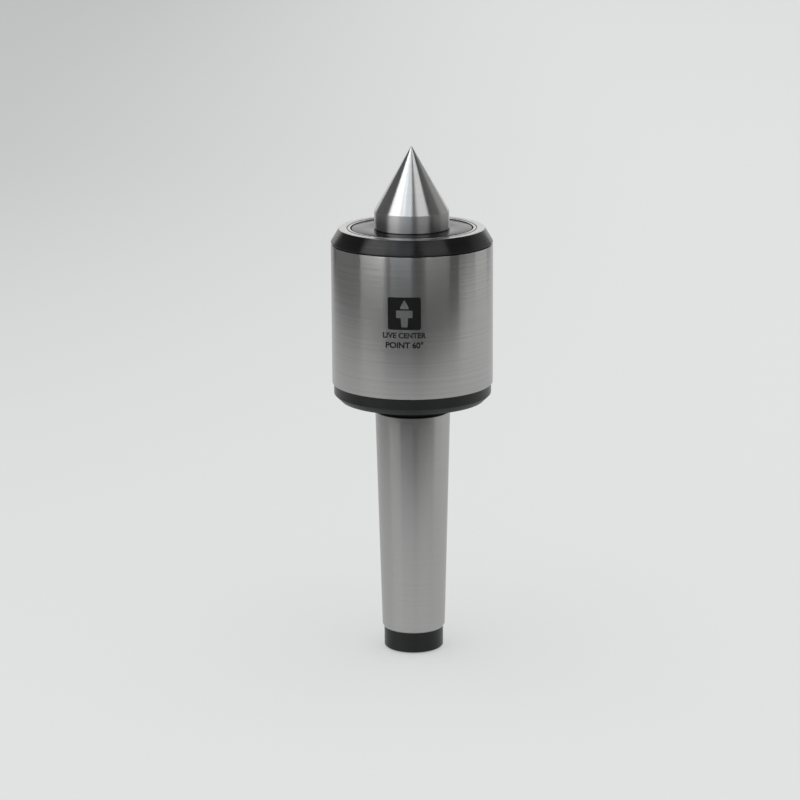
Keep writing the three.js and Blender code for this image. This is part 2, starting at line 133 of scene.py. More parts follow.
# Panels that the metal alone sees: first and last azimuth from the camera's side, low and high elevation,
# all in degrees, then radiance and tint
PANELS = {
    "Left_Panel": (-86, -36, 20, 62, 2.45, (1, 1, 1)),
    "Left_Inner_Panel": (-36, 2, 27, 62, 1.75, (0.9, 0.95, 1)),
    "Right_Panel": (16, 62, 25, 62, 1.32, (1, 1, 1)),
    "Left_Card": (-135, -45, -9, 8, 0.13, (1, 1, 1)),
    "Right_Card": (69, 130, -10, 6, 0.36, (1, 0.98, 0.95)),
    "Right_Back_Glow": (100, 150, 2, 30, 0.25, (1, 1, 1)),
    "Back_Glow": (150, 215, -4, 24, 0.75, (1, 1, 1)),
}

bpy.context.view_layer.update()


# ---------------------------------------------------------------- properties


def length(description, millimetres):
    return FloatProperty(description=description, default=millimetres * MM, unit="LENGTH", precision=5)


def turn_angle(description, degrees):
    return FloatProperty(description=description, default=math.radians(degrees), unit="ROTATION")


def amount(description, default):
    return FloatProperty(description=description, default=default)


def whole_number(description, default):
    return IntProperty(description=description, default=default)


def wording(description, default):
    return StringProperty(description=description, default=default)


def colour(description, default):
    return FloatVectorProperty(
        description=description, default=default, subtype="COLOR", size=3, min=0, max=1
    )


def labelled(group):
    """Names each property of a group after its key, such as Gauge diameter for gauge_diameter."""
    for key, deferred in group.__annotations__.items():
        deferred.keywords["name"] = key.replace("_", " ").capitalize()
    return group


def frame_radius(node):
    """Outer radius of a turned node, in millimetres."""
    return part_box(node)[1].x / MM


def frame_top(node):
    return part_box(node)[1].z / MM


def frame_bottom(node):
    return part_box(node)[0].z / MM


class HousingSizes(PropertyGroup):
    gauge_diameter: length("Morse taper diameter at the gauge plane", 31.267)
    taper: amount("Change of diameter over length of the shank", 1 / 19.254)
    gauge_to_shoulder: length("Gauge plane to the large end of the taper", 6.5)
    end_radius: length("Radius of the relieved end of the shank", 12.6)
    end_height: length("Length of the relieved end of the shank", 8.9)
    shoulder: length("Height of the large end of the taper", 104.1)
    neck_radius: length("Radius of the neck behind the head", 14.6)
    rear_face: length("Height of the head's rear face", 109.1)
    rear_chamfer: length("Chamfer round the head's rear face", 2.75)
    rear_radius: length("Radius of the blacked band behind the sleeve", 33.05)
    sleeve_bottom: length("Height where the ground sleeve starts", 116.3)
    sleeve_top: length("Height of the head's front face", frame_top("shank_housing"))
    sleeve_radius: length("Radius of the ground sleeve", frame_radius("shank_housing"))
    centre_hole_radius: length("Mouth of the hole in the shank's end", 6)
    pilot_radius: length("Radius of the drilled pilot of that hole", 2.5)
    pilot_depth: length("Depth of the drilled pilot", 14)
    thread_radius: length("Bore that takes the cap's spigot", 29.1)
    thread_bottom: length("Height of the floor of that bore", 168.5)
    bearing_radius: length("Bore for the outer rings", 26)
    bearing_seat: length("Height of the outer rings' seat", 134)
    chamber_radius: length("Room round the lock nut", 20)
    thrust_radius: length("Bore for the thrust bearing", 17.65)
    thrust_seat: length("Height of the thrust bearing's seat", 116)
    thrust_mouth: length("Height where that bore opens into the chamber", 120)
    needle_radius: length("Bore for the needle bearing", 10.5)
    needle_floor: length("Height of the bottom of the bore", 97)


class CapSizes(PropertyGroup):
    radius: length("Outer radius of the cap", frame_radius("front_cap"))
    top: length("Height of the cap's front face", frame_top("front_cap"))
    bottom: length("Height of the spigot's end", frame_bottom("front_cap"))
    flange_bottom: length("Height of the seam between cap and sleeve", 175.8)
    corner: length("Height where the chamfer starts", 176.25)
    face_radius: length("Outer radius of the ground front face", 30.35)
    ring_outer: length("Outside of the fine groove in that face", 27.15)
    ring_inner: length("Inside of that groove", 26.7)
    ring_depth: length("Depth of that groove", 0.4)
    mouth_radius: length("Radius of the mouth that the slinger turns in", 25.6)
    floor: length("Height of the floor under the slinger", 178.3)
    seal_radius: length("Bore for the shaft seal", 20.55)
    seal_floor: length("Height of the shoulder under the seal", 170.85)
    lip_radius: length("Bore round the spindle's collar", 18.2)
    spigot_radius: length("Radius of the threaded spigot", 28.8)
    groove_radius: length("Bottom of the O-ring groove", 27.5)
    groove_bottom: length("Lower side of the O-ring groove", 173)
    groove_top: length("Upper side of the O-ring groove", 174.9)
    o_ring_radius: length("Radius of the O-ring's section", 0.62)


class SpindleSizes(PropertyGroup):
    point_radius: length("Radius of the land under the cone", frame_radius("spindle_point"))
    tip: length("Height of the tip of the cone", frame_top("spindle_point"))
    bottom: length("Height of the spindle's rear end", frame_bottom("spindle_point"))
    tip_radius: length("Small radius left on the tip", 0.12)
    collar_radius: length("Radius under the slinger and the seal", 14.5)
    collar_bottom: length("Height of the collar that the inner rings meet", 168.3)
    journal_radius: length("Seat of the inner rings", 12.35)
    journal_bottom: length("Height where that seat ends", 126.2)
    thrust_radius: length("Seat of the thrust bearing's shaft washer", 10)
    thrust_bottom: length("Height where that seat ends", 117.5)
    needle_radius: length("Journal in the needle bearing", 7.4)
    slinger_radius: length("Radius of the slinger disc", frame_radius("slinger_disc"))
    slinger_top: length("Height of the slinger's face", frame_top("slinger_disc"))
    slinger_bottom: length("Height of its underside", frame_bottom("slinger_disc"))


class BearingSizes(PropertyGroup):
    ball_count: whole_number("Balls in each row", 12)
    bore_radius: length("Bore of the inner rings", 12.5)
    pitch_radius: length("Circle that the balls run on", 19.25)
    ball_radius: length("Radius of a ball", 3.9)
    groove_radius: length("Radius of the raceway's section", 4.08)
    inner_shoulder: length("Radius of the inner ring's shoulder", 16.4)
    outer_shoulder: length("Radius of the outer ring's shoulder", 22.1)
    cage_inner: length("Inner radius of the cage", 18.1)
    cage_outer: length("Outer radius of the cage", 20.2)
    cage_half_width: length("Half the width of the cage", 5.2)
    pocket_radius: length("Radius of a ball's pocket in the cage", 4.2)
    thrust_pitch: length("Circle that the thrust balls run on", 13.75)
    thrust_ball: length("Radius of a thrust ball", 3.1)
    thrust_groove: length("Radius of the thrust raceway's section", 3.25)
    thrust_bore: length("Bore of the shaft washer", 10.15)
    thrust_cage_inner: length("Inner radius of the thrust cage", 10.4)
    thrust_pocket: length("Radius of a pocket in the thrust cage", 3.24)
    needle_count: whole_number("Rollers in the needle bearing", 14)
    needle_pitch: length("Circle that the needles run on", 8.5)
    needle_radius: length("Radius of a needle", 0.95)
    needle_length: length("Length of a needle", 12)
    cup_wall: length("Wall of the drawn cup", 0.7)
    cup_lip: length("Radius of the cup's turned-in lips", 8)


class ClampSizes(PropertyGroup):
    spacer_bore: length("Bore of the outer spacer", 22.5)
    wave_bore: length("Bore of the wave washer", 22.8)
    wave_thickness: length("Thickness of its strip", 0.3)
    wave_height: length("Rise of a wave over the middle", 0.44)
    waves: whole_number("Waves round the washer", 4)
    slot_width: length("Width of a slot in the nut", 5)
    slot_depth: length("Depth of a slot in the nut", 2)
    slots: whole_number("Slots round the nut", 4)
    notch_width: length("Width of a notch in the tab washer", 4)
    notch_depth: length("Depth of a notch in the tab washer", 1.1)
    notches: whole_number("Notches round the tab washer", 8)


class SealSizes(PropertyGroup):
    wall: length("Wall of the seal's steel case", 1)
    mouth: length("Radius of the mouth of the case", 16.6)
    spring_radius: length("Circle of the garter spring's middle", 16.6)
    spring_height: length("Height of the garter spring", 173.9)
    coil_radius: length("Radius of a coil to the middle of its wire", 0.34)
    wire_radius: length("Radius of the spring's wire", 0.1)
    coil_slant: turn_angle("How far a coil leans along the spring", 14)
    coils: whole_number("Coils of the spring", 240)


class MarkSizes(PropertyGroup):
    offset: length("How far the mark stands left of the middle", 3.2)
    plate_height: length("Height of the middle of the square", 152.4)
    plate_width: length("Side of the square", 13.5)
    first_line_height: length("Height of the middle of the first line", 143.3)
    first_line_width: length("Length of the first line", 17.6)
    second_line_height: length("Height of the middle of the second line", 139.3)
    second_line_width: length("Length of the second line", 15.4)
    corner_radius: length("Radius of the square's corners", 0.9)
    strip_width: length("Width of the strips that bend round the sleeve", 0.8)
    relief: length("How far the mark stands off the steel", 0.03)
    first_line: wording("Generic words", "LIVE CENTER")
    second_line: wording("Angle of the point", "POINT 60°")
    line_weight: amount("How much bolder the letters are drawn, in letter heights", 0.03)


class Finishes(PropertyGroup):
    ground_steel: colour("Sleeve and shank", (0.62, 0.62, 0.61))
    point_steel: colour("Hardened point", (0.66, 0.66, 0.655))
    black_oxide: colour("Cap, slinger, rear band and shank end", (0.005, 0.0052, 0.0057))
    bearing_steel: colour("Rings, balls and needles", (0.63, 0.64, 0.65))
    plain_steel: colour("Spacers, washers, nut and springs", (0.42, 0.43, 0.44))
    cage_brass: colour("Ball cages", (0.69, 0.49, 0.2))
    seal_rubber: colour("Seal lip and O-ring", (0.02, 0.02, 0.02))
    mark: colour("Etched mark", (0.006, 0.006, 0.0065))


class StudioSettings(PropertyGroup):
    lens: amount("Focal length in millimetres", 124.9)
    camera_distance: length("Level distance from the axis", 1136.53)
    camera_height: length("Height over the floor", 387.28)
    camera_tilt: turn_angle("Downward tilt", 13.8)
    camera_yaw: turn_angle("Turn to the right", -0.269)
    camera_roll: turn_angle("Roll round the view axis", -0.3444)
    # painted light: the floor glows in place of lamp light; the glow keeps its shadows faint and is painted
    # dimmer at the back on the left, as light falling off
    floor_colour: colour("Pale paper on a light table", (0.4, 0.405, 0.404))
    # painted reflection: the table is a glowing sheet that only the metal sees
    table_colour: colour("Unlit part of the table in the metal", (0.001, 0.001, 0.001))
    floor_glow: amount("How bright the paper is lit from below", 0.405)
    far_glow: amount("The same at the back on the left", 0.2)
    backdrop: colour("What shows above the floor's far edge", (0.66, 0.68, 0.675))
    table_glow: amount("How bright the lit table looks in the metal", 0.51)
    room_light: amount("Even light on the floor", 0.7)
    room_reflection: amount("How bright the dark room looks in the metal", 0.1)


# ---------------------------------------------------------------- modelling helpers


def edit_mode():
    bpy.ops.object.mode_set(mode="EDIT")
    bpy.ops.mesh.select_mode(type="VERT")
    bpy.ops.mesh.select_all(action="SELECT")


def object_mode():
    bpy.ops.object.mode_set(mode="OBJECT")


def deselect():
    bpy.ops.object.select_all(action="DESELECT")


def select_only(piece):
    deselect()
    piece.select_set(True)
    bpy.context.view_layer.objects.active = piece


def name_new(name):
    piece = bpy.context.active_object
    piece.name = name
    piece.data.name = name
    return piece


def select_vertices(piece, test):
    """Selects the vertices whose place passes the test, and nothing else."""
    object_mode()
    mesh = piece.data
    for group in (mesh.vertices, mesh.edges, mesh.polygons):
        group.foreach_set("select", [False] * len(group))
    for vertex in mesh.vertices:
        vertex.select = test(vertex.co)
    bpy.ops.object.mode_set(mode="EDIT")
    bpy.ops.mesh.select_mode(type="VERT")


def select_faces(piece, test):
    """Selects the faces that pass the test, and nothing else."""
    edit_mode()
    bpy.ops.mesh.select_mode(type="FACE")
    bpy.ops.mesh.select_all(action="DESELECT")
    object_mode()
    for polygon in piece.data.polygons:
        polygon.select = test(polygon)
    bpy.ops.object.mode_set(mode="EDIT")


def near(points):
    """A test that passes places at one of the points."""
    return lambda spot: min((spot - point).length for point in points) < TOUCHING


def corners_of(outline, closed):
    """Points of an outline where it turns sharply."""
    sharp = math.cos(CORNER_ANGLE)
    found = []
    for i, point in enumerate(outline):
        if not closed and i in (0, len(outline) - 1):
            continue
        before = Vector(point) - Vector(outline[i - 1])
        after = Vector(outline[(i + 1) % len(outline)]) - Vector(point)
        if before.length and after.length and before.normalized().dot(after.normalized()) < sharp:
            found.append(point)
    return found


def drawn(name, outline):
    """Draws an outline edge by edge in the plane of X and Z, and stays in edit mode."""
    deselect()
    bpy.ops.mesh.primitive_plane_add(size=MM)
    piece = name_new(name)
    edit_mode()
    bpy.ops.mesh.merge(type="CENTER")
    bpy.ops.transform.translate(value=(outline[0][0], 0, outline[0][1]))
    for (x0, z0), (x1, z1) in zip(outline, outline[1:]):
        bpy.ops.mesh.extrude_vertices_move(TRANSFORM_OT_translate={"value": (x1 - x0, 0, z1 - z0)})
    return piece


def turned(name, outline, edge=0.15 * MM, steps=INNER_STEPS):
    """A piece turned on the lathe: draws its half section, breaks the corners, and spins it round Z."""
    piece = drawn(name, outline)
    closed = outline[0][0] > 0
    if closed:
        ends = [Vector((r, 0, z)) for r, z in (outline[0], outline[-1])]
        select_vertices(piece, near(ends))
        bpy.ops.mesh.edge_face_add()
    if edge:
        corners = [Vector((r, 0, z)) for r, z in corners_of(outline, closed)]
        select_vertices(piece, near(corners))
        bpy.ops.mesh.bevel(offset=edge, segments=2, affect="VERTICES", clamp_overlap=True)
    bpy.ops.mesh.select_all(action="SELECT")
    bpy.ops.mesh.spin(steps=steps, angle=FULL_TURN, center=(0, 0, 0), axis=(0, 0, 1))
    object_mode()
    clean(piece)
    return piece


def clean(piece):
    """Joins doubled vertices, turns every face outwards and smooths all but the hard edges."""
    select_only(piece)
    edit_mode()
    bpy.ops.mesh.remove_doubles(threshold=TOUCHING)
    bpy.ops.mesh.normals_make_consistent(inside=False)
    object_mode()
    bpy.ops.object.shade_smooth_by_angle(angle=SMOOTH_ANGLE)


def arc(centre, radius, start, end, steps):
    """Points of an arc in the half section, angles in degrees from outwards towards up."""
    points = []
    for i in range(steps + 1):
        angle = math.radians(start + (end - start) * i / steps)
        points.append((centre[0] + radius * math.cos(angle), centre[1] + radius * math.sin(angle)))
    return points


def stepped(radius, height, *changes):
    """Points of a stepped half section: after the first, the changes are a radius and a height in turn."""
    points = [(radius, height)]
    for i, change in enumerate(changes):
        radius, height = (radius, change) if i % 2 else (change, height)
        points.append((radius, height))
    return points


def plain_ring(inner, outer, bottom, top):
    return stepped(inner, bottom, outer, top, inner)


def chamfered(inner, outer, bottom, top, chamfer):
    """The half section of a ring or a roller with both its outer corners chamfered."""
    return [
        (inner, bottom),
        (outer - chamfer, bottom),
        (outer, bottom + chamfer),
        (outer, top - chamfer),
        (outer - chamfer, top),
        (inner, top),
    ]


def copy_of(piece, name, angle=0, lift=0):
    """A copy with its own mesh, turned round Z and lifted."""
    twin = piece.copy()
    twin.data = piece.data.copy()
    twin.name = twin.data.name = name
    twin.data.transform(Matrix.Translation((0, 0, lift)) @ Matrix.Rotation(angle, 4, "Z"))
    bpy.context.scene.collection.objects.link(twin)
    return twin


def shifted(piece, x, z, turn=None):
    """Turns the piece's mesh, then moves it along X and Z."""
    piece.data.transform(Matrix.Translation((x, 0, z)) @ (turn or Matrix.Identity(4)))
    return piece


def ball(name, radius):
    """A ball made from a finely divided cube, so that its faces are alike all round."""
    deselect()
    bpy.ops.mesh.primitive_cube_add(size=radius)
    piece = name_new(name)
    edit_mode()
    bpy.ops.mesh.subdivide(number_cuts=BALL_CUTS)
    bpy.ops.transform.tosphere(value=1)
    object_mode()
    growth = radius / piece.data.vertices[0].co.length
    edit_mode()
    bpy.ops.transform.resize(value=(growth, growth, growth))
    object_mode()
    clean(piece)
    return piece


def joined(name, pieces):
    deselect()
    for piece in pieces:
        piece.select_set(True)
    bpy.context.view_layer.objects.active = pieces[0]
    bpy.ops.object.join()
    return name_new(name)


def ring_of(piece, count):
    """The piece and its copies all round Z, joined."""
    copies = [copy_of(piece, f"{piece.name}_{i}", FULL_TURN * i / count) for i in range(1, count)]
    return joined(piece.name, [piece, *copies])


def drill(radius, depth, x, z, turn=None):
    """A round cutter, along Z unless it is turned."""
    deselect()
    bpy.ops.mesh.primitive_cylinder_add(vertices=HOLE_SIDES, radius=radius, depth=depth)
    return shifted(name_new("Drill"), x, z, turn)


def block(width, depth, height, x, z):
    """A box-shaped cutter."""
    deselect()
    bpy.ops.mesh.primitive_cube_add(size=1)
    cutter = name_new("Block")
    cutter.data.transform(Matrix.Diagonal((width, depth, height, 1)))
    return shifted(cutter, x, z)


def cut(piece, cutter):
    """Takes the cutter's shape out of the piece, and removes the cutter."""
    select_only(piece)
    modifier = piece.modifiers.new("Cut", "BOOLEAN")
    modifier.operation = "DIFFERENCE"
    modifier.object = cutter
    bpy.ops.object.modifier_apply(modifier="Cut")
    bpy.data.objects.remove(cutter)
    clean(piece)


def assign(piece, *materials):
    piece.data.materials.clear()
    for material in materials:
        piece.data.materials.append(material)


def paint(piece, index, test):
    """Gives the material of that index to the faces whose middle passes the test of radius and height."""
    for polygon in piece.data.polygons:
        middle = polygon.center
        if test(math.hypot(middle.x, middle.y), middle.z):
            polygon.material_index = index


def softened(piece, width):
    """Breaks the sharp edges that a cut leaves."""
    modifier = piece.modifiers.new("Edges", "BEVEL")
    modifier.width = width
    modifier.segments = 2
    modifier.limit_method = "ANGLE"
    modifier.angle_limit = SOFTENED_ANGLE
    select_only(piece)
    bpy.ops.object.modifier_apply(modifier="Edges")
    clean(piece)


def extent(node):
    """Outer radius, lowest and highest point of a turned node."""
    low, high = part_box(node)
    return high.x, low.z, high.z


def middle_of(node):
    low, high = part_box(node)
    return (low + high) / 2


def place(piece, body, slot, *nodes):
    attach(piece, body)
    if nodes:
        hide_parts(*nodes)


def finished(piece, finish_name, body, slot, *nodes):
    """Gives the piece its one finish, and its place in the frame."""
    assign(piece, finish(finish_name))
    place(piece, body, slot, *nodes)


def set_balls(pattern, row, count):
    """Copies the pattern ball to the place of every ball of a row, each its own piece."""
    for i in range(1, count + 1):
        node = f"{row}_bearing_ball_{i}"
        spot = middle_of(node)
        twin = copy_of(pattern, node.title(), math.atan2(spot.y, spot.x), spot.z)
        place(twin, f"{row}_cage", "bearing_steel", node)


def filled(piece, corner_radius):
    """Closes a drawn outline, rounds its corners, and gives it some depth along Y."""
    bpy.ops.mesh.select_all(action="SELECT")
    bpy.ops.mesh.edge_face_add()
    if corner_radius:
        bpy.ops.mesh.bevel(offset=corner_radius, segments=6, affect="VERTICES")
        bpy.ops.mesh.select_all(action="SELECT")
    bpy.ops.mesh.extrude_region_move(TRANSFORM_OT_translate={"value": (0, PLATE_DEPTH, 0)})
    bpy.ops.mesh.select_all(action="SELECT")
    bpy.ops.transform.translate(value=(0, -PLATE_DEPTH / 2, 0))
    bpy.ops.mesh.normals_make_consistent(inside=False)
    object_mode()
    return piece


def lettering(words, width, height, weight):
    """Bold words as a flat mesh that faces -Y, scaled to a width and centred at a height."""
    deselect()
    bpy.ops.object.text_add()
    text = bpy.context.active_object.data
    text.body = words
    text.offset = weight
    bpy.ops.object.convert(target="MESH")
    piece = name_new("Lettering")
    xs = [vertex.co.x for vertex in piece.data.vertices]
    ys = [vertex.co.y for vertex in piece.data.vertices]
    scale = width / (max(xs) - min(xs))
    centre = Vector(((max(xs) + min(xs)) / 2, (max(ys) + min(ys)) / 2, 0))
    upright = Matrix.Rotation(math.radians(90), 4, "X")
    piece.data.transform(upright @ Matrix.Scale(scale, 4) @ Matrix.Translation(-centre))
    return shifted(piece, 0, height)


def wrap_round(piece, target, strip_width, relief):
    """Cuts a flat shape into upright strips, lays it on the target along Y, and gives it a thin body."""
    edit_mode()
    reach = piece.dimensions.x
    strips = math.ceil(reach / strip_width)
    clear_of_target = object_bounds()[1].x * 1.2
    for i in range(-strips, strips + 1):
        bpy.ops.mesh.select_all(action="SELECT")
        bpy.ops.mesh.bisect(plane_co=(i * strip_width, 0, 0), plane_no=(1, 0, 0))
    bpy.ops.mesh.select_all(action="SELECT")
    bpy.ops.transform.translate(value=(0, -clear_of_target, 0))
    object_mode()
    wrap = piece.modifiers.new("Wrap", "SHRINKWRAP")
    wrap.wrap_method = "PROJECT"
    wrap.target = target
    wrap.use_project_x = wrap.use_project_z = False
    wrap.use_project_y = True
    wrap.use_positive_direction = True
    wrap.use_negative_direction = False
    wrap.offset = relief
    body = piece.modifiers.new("Body", "SOLIDIFY")
    body.thickness = relief / 2
    body.offset = 0
    bpy.ops.object.modifier_apply(modifier="Wrap")
    bpy.ops.object.modifier_apply(modifier="Body")
    clean(piece)


# ---------------------------------------------------------------- finishes


def new_material(name):
    material = bpy.data.materials.new(name)
    material.use_nodes = True
    tree = material.node_tree
    return material, tree, tree.nodes["Principled BSDF"]


def add(tree, kind, inputs=None, **settings):
    """Adds a node, sets its settings, and fills its inputs with values or links."""
    node = tree.nodes.new(kind)
    for key, value in settings.items():
        setattr(node, key, value)
    for key, value in (inputs or {}).items():
        if isinstance(value, bpy.types.NodeSocket):
            tree.links.new(value, node.inputs[key])
        else:
            node.inputs[key].default_value = value
    return node


def object_place(tree):
    return add(tree, "ShaderNodeTexCoord").outputs["Object"]


def number(tree, operation, *values):
    """Result of a math node."""
    return add(tree, "ShaderNodeMath", dict(enumerate(values)), operation=operation).outputs[0]


def vector(tree, operation, *values):
    """Result of a vector math node."""
    return add(tree, "ShaderNodeVectorMath", dict(enumerate(values)), operation=operation).outputs[0]


def combined(tree, x, y, z):
    return add(tree, "ShaderNodeCombineXYZ", {0: x, 1: y, 2: z}).outputs[0]


def noise(tree, place_socket, scale, detail):
    inputs = {"Vector": place_socket, "Scale": scale, "Detail": detail}
    return add(tree, "ShaderNodeTexNoise", inputs).outputs["Fac"]


class Turning:
    """Where a point lies on a turned piece: round the axis, and along the tool's path."""

    def __init__(self, tree):
        spot = object_place(tree)
        self.x, self.y, z = add(tree, "ShaderNodeSeparateXYZ", {0: spot}).outputs
        flat = vector(tree, "MULTIPLY", spot, (1, 1, 0))
        radius = add(tree, "ShaderNodeVectorMath", {0: flat}, operation="LENGTH").outputs["Value"]
        self.along = number(tree, "ADD", radius, z)

    def lines(self, tree, pitch, arc_length, detail=3):
        """Fine lines round the axis: noise stretched along the tool's path."""
        path = combined(tree, self.x, self.y, self.along)
        stretched = vector(tree, "MULTIPLY", path, (1 / arc_length, 1 / arc_length, 1 / pitch))
        return noise(tree, stretched, 1, detail)

    def across(self, tree):
        """Direction square to the tool marks, on any turned face."""
        around = combined(tree, number(tree, "MULTIPLY", self.y, -1), self.x, 0)
        face = add(tree, "ShaderNodeNewGeometry").outputs["Normal"]
        return vector(tree, "NORMALIZE", vector(tree, "CROSS_PRODUCT", face, around))


def remap(tree, pattern, low, high):
    """Stretches the middle of a noise pattern from the low value to the high one."""
    inputs = {"Value": pattern, "From Min": 0.3, "From Max": 0.7, "To Min": low, "To Max": high}
    return add(tree, "ShaderNodeMapRange", inputs).outputs["Result"]


def tinted(tree, shader, base, pattern, tone):
    """Makes the base colour darker and lighter with the pattern."""
    factor = remap(tree, pattern, *tone)
    colour_socket = vector(tree, "MULTIPLY", (*base,), combined(tree, factor, factor, factor))
    tree.links.new(colour_socket, shader.inputs["Base Color"])


def roughened(tree, shader, pattern, low, high):
    tree.links.new(remap(tree, pattern, low, high), shader.inputs["Roughness"])


def bumped(tree, shader, pattern, depth):
    bump = add(tree, "ShaderNodeBump", {"Height": pattern, "Distance": depth})
    tree.links.new(bump.outputs["Normal"], shader.inputs["Normal"])


def turned_metal(name, base, roughness, anisotropy, pitch, depth, metallic=1, tone=METAL_TONE):
    """Metal with tool or grinding lines round the axis, which stretch its highlights along the axis."""
    material, tree, shader = new_material(name)
    turning = Turning(tree)
    fine = turning.lines(tree, pitch, 30 * MM)
    coarse = turning.lines(tree, 6 * pitch, 120 * MM, detail=1)
    tinted(tree, shader, base, coarse, tone)
    roughened(tree, shader, fine, roughness * 0.95, roughness * 1.05)
    shader.inputs["Metallic"].default_value = metallic
    shader.inputs["Anisotropic"].default_value = anisotropy
    tree.links.new(turning.across(tree), shader.inputs["Tangent"])
    bumped(tree, shader, fine, depth)
    return material


def black_oxide(name, base, roughness, anisotropy):
    """Blacked and oiled steel: almost black, with tool lines and a faint uneven tone."""
    pitch = 0.15 * MM
    depth = 0.0001 * MM
    material = turned_metal(name, base, roughness, anisotropy, pitch, depth, metallic=0, tone=(0.8, 1.3))
    material.node_tree.nodes["Principled BSDF"].inputs["Specular IOR Level"].default_value = 0.46
    return material


def rubber(name, base):
    """Dull rubber with a fine grain."""
    material, tree, shader = new_material(name)
    grain = noise(tree, object_place(tree), 1800, 3)
    tinted(tree, shader, base, grain, (0.8, 1.25))
    roughened(tree, shader, grain, 0.55, 0.75)
    bumped(tree, shader, grain, 0.01 * MM)
    return material


def etched(name, base):
    """Laser-etched steel: dark, dull, and faintly mottled."""
    material, tree, shader = new_material(name)
    mottle = noise(tree, object_place(tree), 900, 4)
    tinted(tree, shader, base, mottle, (0.8, 1.4))
    roughened(tree, shader, mottle, 0.55, 0.7)
    shader.inputs["Specular IOR Level"].default_value = 0.2
    return material


def finish(name):
    """The named finish, made the first time it is asked for."""
    if name in bpy.data.materials:
        return bpy.data.materials[name]
    colours = bpy.context.scene.live_center_finishes
    if name in METALS:
        key, roughness, anisotropy, pitch, depth = METALS[name]
        tone = SLEEVE_TONE if name == "Ground Steel" else METAL_TONE
        base = getattr(colours, key)
        return turned_metal(name, base, roughness, anisotropy, pitch * MM, depth * MM, tone=tone)
    if name in BLACKS:
        return black_oxide(name, colours.black_oxide, *BLACKS[name])
    if name == "Seal Rubber":
        return rubber(name, colours.seal_rubber)
    return etched(name, colours.mark)


# ---------------------------------------------------------------- pieces


class LIVECENTER_OT_housing(Operator):
    """Turn the shank and bearing housing from one bar, and black the parts that aren't ground"""

    bl_idname = "livecenter.housing"
    bl_label = "Shank and Housing"

    def execute(self, context):
        s = context.scene.live_center_housing
        sink = (s.centre_hole_radius - s.pilot_radius) / math.tan(POINT_HALF_ANGLE)
        drill_tip = s.pilot_depth + s.pilot_radius / math.tan(DRILL_HALF_ANGLE)
        end_bevel = 0.5 * MM
        shoulder_bevel = 0.3 * MM
        sleeve_bevel = 0.25 * MM
        lead_in = 0.6 * MM
        needle_drill_tip = 4.7 * MM

        def taper_radius(z):
            return s.gauge_diameter / 2 + (z - (s.shoulder - s.gauge_to_shoulder)) * s.taper / 2

        taper_start = s.end_height + 1.1 * MM
        taper_end = taper_radius(s.shoulder)
        outline = [
            (0, drill_tip),
            (s.pilot_radius, s.pilot_depth),
            (s.pilot_radius, sink),
            (s.centre_hole_radius, 0),
            (s.end_radius - end_bevel, 0),
            (s.end_radius, end_bevel),
            (s.end_radius, s.end_height),
            (taper_radius(taper_start) - lead_in, s.end_height),
            (taper_radius(taper_start), taper_start),
            (taper_end, s.shoulder - shoulder_bevel),
            *stepped(taper_end - shoulder_bevel, s.shoulder, s.neck_radius, s.rear_face),
            (s.rear_radius - s.rear_chamfer, s.rear_face),
            (s.rear_radius, s.rear_face + s.rear_chamfer),
            (s.rear_radius, s.sleeve_bottom),
            (s.sleeve_radius - sleeve_bevel, s.sleeve_bottom),
            (s.sleeve_radius, s.sleeve_bottom + sleeve_bevel),
            *stepped(s.sleeve_radius, s.sleeve_top, s.thread_radius, s.thread_bottom, s.bearing_radius),
            *stepped(s.bearing_radius, s.bearing_seat, s.chamber_radius, s.thrust_mouth, s.thrust_radius),
            *stepped(s.thrust_radius, s.thrust_seat, s.needle_radius, s.needle_floor),
            (0, s.needle_floor - needle_drill_tip),
        ]
        piece = turned("Shank_Housing", outline, edge=0.12 * MM, steps=STEPS)
        names = ("Ground Steel", "Black Oxide", "Shank Steel", "Bored Steel")
        assign(piece, *(finish(name) for name in names))
        black, shank, bored = 1, 2, 3
        paint(piece, shank, lambda r, z: z < s.shoulder)
        paint(piece, black, lambda r, z: z < s.end_height + 4 * SKIN)
        paint(piece, black, lambda r, z: s.shoulder - 2 * SKIN < z < s.sleeve_bottom + SKIN)
        low_inside = (s.rear_face + s.thrust_mouth) / 2
        paint(piece, bored, lambda r, z: r < s.thread_radius + SKIN and z > low_inside)
        paint(piece, bored, lambda r, z: r < s.needle_radius + SKIN and z > s.end_height)
        paint(piece, bored, lambda r, z: r < s.centre_hole_radius and z < s.pilot_depth + SKIN)
        place(piece, "housing", "ground_steel", "shank_housing")
        return {"FINISHED"}


